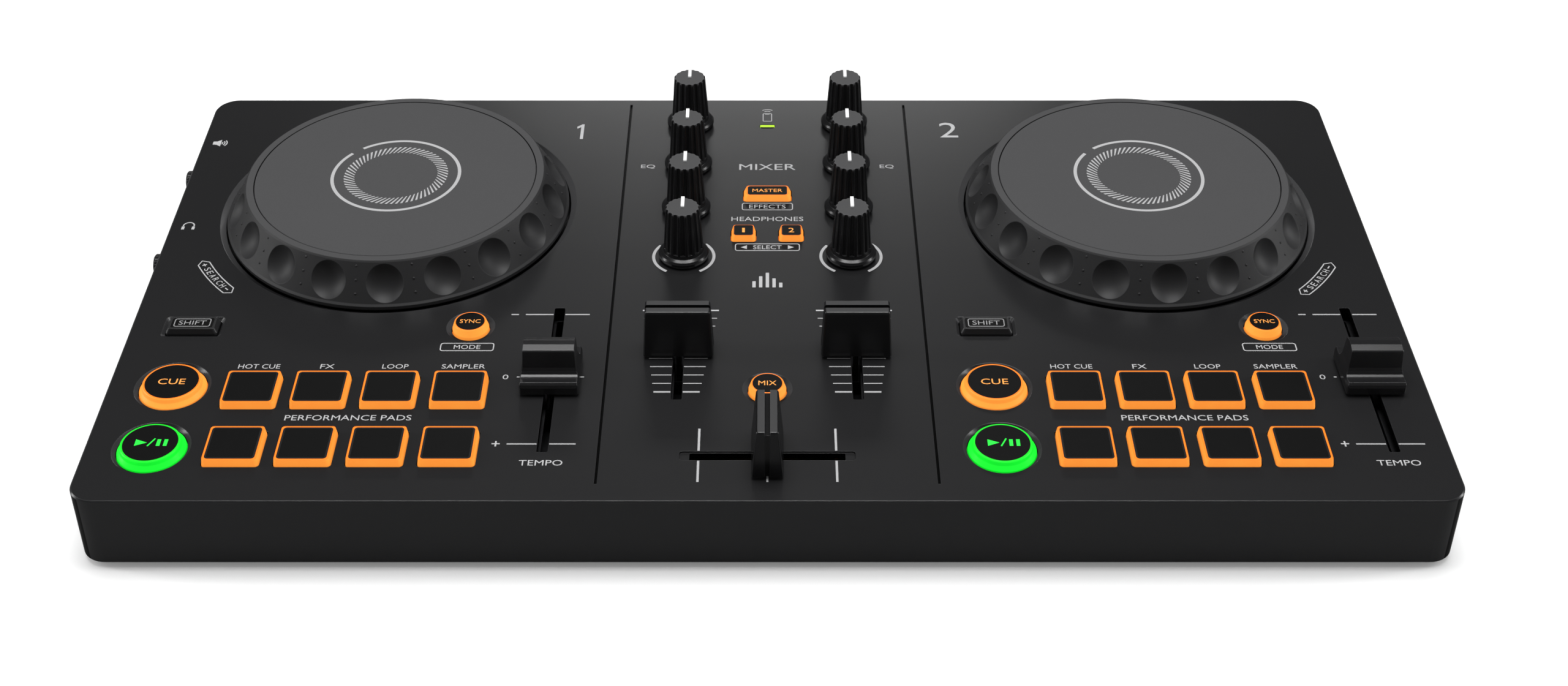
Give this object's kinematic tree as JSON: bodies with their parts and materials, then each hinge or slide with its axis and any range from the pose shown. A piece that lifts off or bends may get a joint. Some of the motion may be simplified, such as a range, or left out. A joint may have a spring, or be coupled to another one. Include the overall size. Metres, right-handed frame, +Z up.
{
  "type": "dj controller",
  "caption": "Compact two-deck DJ controller: flat black case with jog wheels, lit pads and buttons, knobs and faders that all move.",
  "frame": {"origin": "centre of the body's footprint on the desk, under the rubber feet", "axes": "+X to the player's right along the long side, +Y away from the player, +Z up; rest pose has every knob and fader centred and every key released"},
  "size_m": [0.412, 0.224, 0.046],
  "materials": {
    "case": "fine-textured moulded ABS, near black",
    "cover": "moulded ABS, near black",
    "jog_plate": "satin dark grey plate with a printed light grey ring",
    "jog_rim": "satin dark grey wheel rim",
    "knob": "satin black fluted plastic",
    "fader_cap": "semi-gloss black plastic",
    "amber_key": "translucent amber key body lit from inside, black top plate",
    "green_key": "translucent green key body lit from inside, black top plate",
    "black_key": "satin black plastic",
    "foot": "black rubber",
    "screw": "black zinc-plated steel",
    "board": "green solder-masked glass-epoxy board",
    "frame_metal": "plated sheet steel",
    "pot_body": "zinc die-cast and sheet steel",
    "switch_body": "moulded black plastic",
    "hub": "natural acetal",
    "socket_metal": "nickel-plated steel",
    "phono_metal": "nickel-plated barrel",
    "jack_body": "moulded black plastic",
    "light_pipe": "clear acrylic, lit yellow-green"
  },
  "bodies": {
    "case": {"top_case": "case", "bottom_cover": "cover", "case_screws": "screw", "rubber_feet": "foot", "main_board": "board", "slider_frames": "frame_metal", "potentiometers": "pot_body", "key_switches": "switch_body", "jog_hubs": "hub", "usb_ports": "socket_metal", "rca_jacks": "phono_metal", "headphone_jack": "jack_body", "status_light_pipe": "light_pipe"},
    "jog_1": {"jog_1_rim": "jog_rim", "jog_1_plate": "jog_plate"},
    "jog_2": {"jog_2_rim": "jog_rim", "jog_2_plate": "jog_plate"},
    "filter_knob_1": {"filter_knob_1": "knob"},
    "low_knob_1": {"low_knob_1": "knob"},
    "mid_knob_1": {"mid_knob_1": "knob"},
    "high_knob_1": {"high_knob_1": "knob"},
    "filter_knob_2": {"filter_knob_2": "knob"},
    "low_knob_2": {"low_knob_2": "knob"},
    "mid_knob_2": {"mid_knob_2": "knob"},
    "high_knob_2": {"high_knob_2": "knob"},
    "master_level_dial": {"master_level_dial": "knob"},
    "headphone_level_dial": {"headphone_level_dial": "knob"},
    "tempo_slider_1": {"tempo_slider_1": "fader_cap"},
    "channel_fader_1": {"channel_fader_1": "fader_cap"},
    "tempo_slider_2": {"tempo_slider_2": "fader_cap"},
    "channel_fader_2": {"channel_fader_2": "fader_cap"},
    "crossfader": {"crossfader": "fader_cap"},
    "mix_button": {"mix_button": "amber_key"},
    "master_button": {"master_button": "amber_key"},
    "headphone_button_1": {"headphone_button_1": "amber_key"},
    "headphone_button_2": {"headphone_button_2": "amber_key"},
    "cue_button_1": {"cue_button_1": "amber_key"},
    "play_button_1": {"play_button_1": "green_key"},
    "sync_button_1": {"sync_button_1": "amber_key"},
    "shift_button_1": {"shift_button_1": "black_key"},
    "pad_1_1": {"pad_1_1": "amber_key"},
    "pad_1_2": {"pad_1_2": "amber_key"},
    "pad_1_3": {"pad_1_3": "amber_key"},
    "pad_1_4": {"pad_1_4": "amber_key"},
    "pad_1_5": {"pad_1_5": "amber_key"},
    "pad_1_6": {"pad_1_6": "amber_key"},
    "pad_1_7": {"pad_1_7": "amber_key"},
    "pad_1_8": {"pad_1_8": "amber_key"},
    "cue_button_2": {"cue_button_2": "amber_key"},
    "play_button_2": {"play_button_2": "green_key"},
    "sync_button_2": {"sync_button_2": "amber_key"},
    "shift_button_2": {"shift_button_2": "black_key"},
    "pad_2_1": {"pad_2_1": "amber_key"},
    "pad_2_2": {"pad_2_2": "amber_key"},
    "pad_2_3": {"pad_2_3": "amber_key"},
    "pad_2_4": {"pad_2_4": "amber_key"},
    "pad_2_5": {"pad_2_5": "amber_key"},
    "pad_2_6": {"pad_2_6": "amber_key"},
    "pad_2_7": {"pad_2_7": "amber_key"},
    "pad_2_8": {"pad_2_8": "amber_key"}
  },
  "joints": [
    {"name": "jog_1_spin", "type": "hinge", "parent": "case", "child": "jog_1", "pos_m": [-0.12705, 0.0401, 0.026], "axis": [0, 0, 1], "continuous": true},
    {"name": "jog_2_spin", "type": "hinge", "parent": "case", "child": "jog_2", "pos_m": [0.12705, 0.0401, 0.026], "axis": [0, 0, 1], "continuous": true},
    {"name": "filter_knob_1_turn", "type": "hinge", "parent": "case", "child": "filter_knob_1", "pos_m": [-0.028, 0.011, 0.026], "axis": [0, 0, -1], "range_deg": [-150, 150]},
    {"name": "low_knob_1_turn", "type": "hinge", "parent": "case", "child": "low_knob_1", "pos_m": [-0.028, 0.03885, 0.026], "axis": [0, 0, -1], "range_deg": [-150, 150]},
    {"name": "mid_knob_1_turn", "type": "hinge", "parent": "case", "child": "mid_knob_1", "pos_m": [-0.028, 0.0667, 0.026], "axis": [0, 0, -1], "range_deg": [-150, 150]},
    {"name": "high_knob_1_turn", "type": "hinge", "parent": "case", "child": "high_knob_1", "pos_m": [-0.028, 0.09455, 0.026], "axis": [0, 0, -1], "range_deg": [-150, 150]},
    {"name": "filter_knob_2_turn", "type": "hinge", "parent": "case", "child": "filter_knob_2", "pos_m": [0.028, 0.011, 0.026], "axis": [0, 0, -1], "range_deg": [-150, 150]},
    {"name": "low_knob_2_turn", "type": "hinge", "parent": "case", "child": "low_knob_2", "pos_m": [0.028, 0.03885, 0.026], "axis": [0, 0, -1], "range_deg": [-150, 150]},
    {"name": "mid_knob_2_turn", "type": "hinge", "parent": "case", "child": "mid_knob_2", "pos_m": [0.028, 0.0667, 0.026], "axis": [0, 0, -1], "range_deg": [-150, 150]},
    {"name": "high_knob_2_turn", "type": "hinge", "parent": "case", "child": "high_knob_2", "pos_m": [0.028, 0.09455, 0.026], "axis": [0, 0, -1], "range_deg": [-150, 150]},
    {"name": "master_level_dial_turn", "type": "hinge", "parent": "case", "child": "master_level_dial", "pos_m": [-0.204, 0.07, 0.017], "axis": [-1, 0, 0], "range_deg": [-150, 150]},
    {"name": "headphone_level_dial_turn", "type": "hinge", "parent": "case", "child": "headphone_level_dial", "pos_m": [-0.204, 0.0183, 0.017], "axis": [-1, 0, 0], "range_deg": [-150, 150]},
    {"name": "tempo_slider_1_travel", "type": "slide", "parent": "case", "child": "tempo_slider_1", "axis": [0, 1, 0], "range_m": [-0.032, 0.032]},
    {"name": "channel_fader_1_travel", "type": "slide", "parent": "case", "child": "channel_fader_1", "axis": [0, 1, 0], "range_m": [-0.021, 0.021]},
    {"name": "tempo_slider_2_travel", "type": "slide", "parent": "case", "child": "tempo_slider_2", "axis": [0, 1, 0], "range_m": [-0.032, 0.032]},
    {"name": "channel_fader_2_travel", "type": "slide", "parent": "case", "child": "channel_fader_2", "axis": [0, 1, 0], "range_m": [-0.021, 0.021]},
    {"name": "crossfader_travel", "type": "slide", "parent": "case", "child": "crossfader", "axis": [1, 0, 0], "range_m": [-0.0205, 0.0205]},
    {"name": "mix_button_press", "type": "slide", "parent": "case", "child": "mix_button", "axis": [0, 0, -1], "range_m": [0, 0.0008]},
    {"name": "master_button_press", "type": "slide", "parent": "case", "child": "master_button", "axis": [0, 0, -1], "range_m": [0, 0.0008]},
    {"name": "headphone_button_1_press", "type": "slide", "parent": "case", "child": "headphone_button_1", "axis": [0, 0, -1], "range_m": [0, 0.0008]},
    {"name": "headphone_button_2_press", "type": "slide", "parent": "case", "child": "headphone_button_2", "axis": [0, 0, -1], "range_m": [0, 0.0008]},
    {"name": "cue_button_1_press", "type": "slide", "parent": "case", "child": "cue_button_1", "axis": [0, 0, -1], "range_m": [0, 0.0008]},
    {"name": "play_button_1_press", "type": "slide", "parent": "case", "child": "play_button_1", "axis": [0, 0, -1], "range_m": [0, 0.0008]},
    {"name": "sync_button_1_press", "type": "slide", "parent": "case", "child": "sync_button_1", "axis": [0, 0, -1], "range_m": [0, 0.0008]},
    {"name": "shift_button_1_press", "type": "slide", "parent": "case", "child": "shift_button_1", "axis": [0, 0, -1], "range_m": [0, 0.0008]},
    {"name": "pad_1_1_press", "type": "slide", "parent": "case", "child": "pad_1_1", "axis": [0, 0, -1], "range_m": [0, 0.0008]},
    {"name": "pad_1_2_press", "type": "slide", "parent": "case", "child": "pad_1_2", "axis": [0, 0, -1], "range_m": [0, 0.0008]},
    {"name": "pad_1_3_press", "type": "slide", "parent": "case", "child": "pad_1_3", "axis": [0, 0, -1], "range_m": [0, 0.0008]},
    {"name": "pad_1_4_press", "type": "slide", "parent": "case", "child": "pad_1_4", "axis": [0, 0, -1], "range_m": [0, 0.0008]},
    {"name": "pad_1_5_press", "type": "slide", "parent": "case", "child": "pad_1_5", "axis": [0, 0, -1], "range_m": [0, 0.0008]},
    {"name": "pad_1_6_press", "type": "slide", "parent": "case", "child": "pad_1_6", "axis": [0, 0, -1], "range_m": [0, 0.0008]},
    {"name": "pad_1_7_press", "type": "slide", "parent": "case", "child": "pad_1_7", "axis": [0, 0, -1], "range_m": [0, 0.0008]},
    {"name": "pad_1_8_press", "type": "slide", "parent": "case", "child": "pad_1_8", "axis": [0, 0, -1], "range_m": [0, 0.0008]},
    {"name": "cue_button_2_press", "type": "slide", "parent": "case", "child": "cue_button_2", "axis": [0, 0, -1], "range_m": [0, 0.0008]},
    {"name": "play_button_2_press", "type": "slide", "parent": "case", "child": "play_button_2", "axis": [0, 0, -1], "range_m": [0, 0.0008]},
    {"name": "sync_button_2_press", "type": "slide", "parent": "case", "child": "sync_button_2", "axis": [0, 0, -1], "range_m": [0, 0.0008]},
    {"name": "shift_button_2_press", "type": "slide", "parent": "case", "child": "shift_button_2", "axis": [0, 0, -1], "range_m": [0, 0.0008]},
    {"name": "pad_2_1_press", "type": "slide", "parent": "case", "child": "pad_2_1", "axis": [0, 0, -1], "range_m": [0, 0.0008]},
    {"name": "pad_2_2_press", "type": "slide", "parent": "case", "child": "pad_2_2", "axis": [0, 0, -1], "range_m": [0, 0.0008]},
    {"name": "pad_2_3_press", "type": "slide", "parent": "case", "child": "pad_2_3", "axis": [0, 0, -1], "range_m": [0, 0.0008]},
    {"name": "pad_2_4_press", "type": "slide", "parent": "case", "child": "pad_2_4", "axis": [0, 0, -1], "range_m": [0, 0.0008]},
    {"name": "pad_2_5_press", "type": "slide", "parent": "case", "child": "pad_2_5", "axis": [0, 0, -1], "range_m": [0, 0.0008]},
    {"name": "pad_2_6_press", "type": "slide", "parent": "case", "child": "pad_2_6", "axis": [0, 0, -1], "range_m": [0, 0.0008]},
    {"name": "pad_2_7_press", "type": "slide", "parent": "case", "child": "pad_2_7", "axis": [0, 0, -1], "range_m": [0, 0.0008]},
    {"name": "pad_2_8_press", "type": "slide", "parent": "case", "child": "pad_2_8", "axis": [0, 0, -1], "range_m": [0, 0.0008]}
  ]
}
